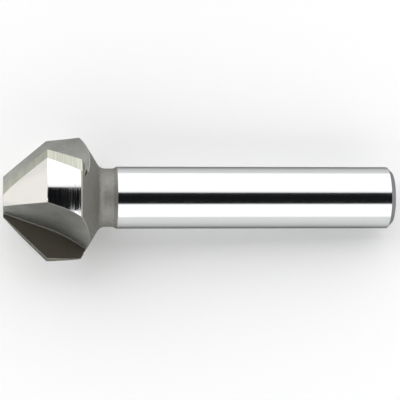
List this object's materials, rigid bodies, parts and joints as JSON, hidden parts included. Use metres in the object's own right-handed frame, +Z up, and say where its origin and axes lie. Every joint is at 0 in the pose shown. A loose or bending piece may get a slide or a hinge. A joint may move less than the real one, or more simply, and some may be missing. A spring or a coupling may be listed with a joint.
{
  "type": "countersink bit",
  "caption": "Conical countersink bit with V-shaped flutes, a short cylindrical land, a tapered back, a neck and a plain round shank.",
  "frame": {"origin": "on the bench under the middle of the bit as it lies, at the centre of its footprint's box", "axes": "+Z up, +X from the cutting end towards the shank. The bit's own axis slopes down towards the shank by 4.3 degrees from +X in the XZ plane, because the head is wider than the shank"},
  "size_m": [0.0634, 0.0202, 0.0193],
  "materials": {
    "ground_steel": "bright ground high-speed steel, polished on the cone, land and shank, duller in the neck and on the back cone"
  },
  "bodies": {
    "root": {"countersink_bit": "ground_steel"}
  },
  "joints": []
}
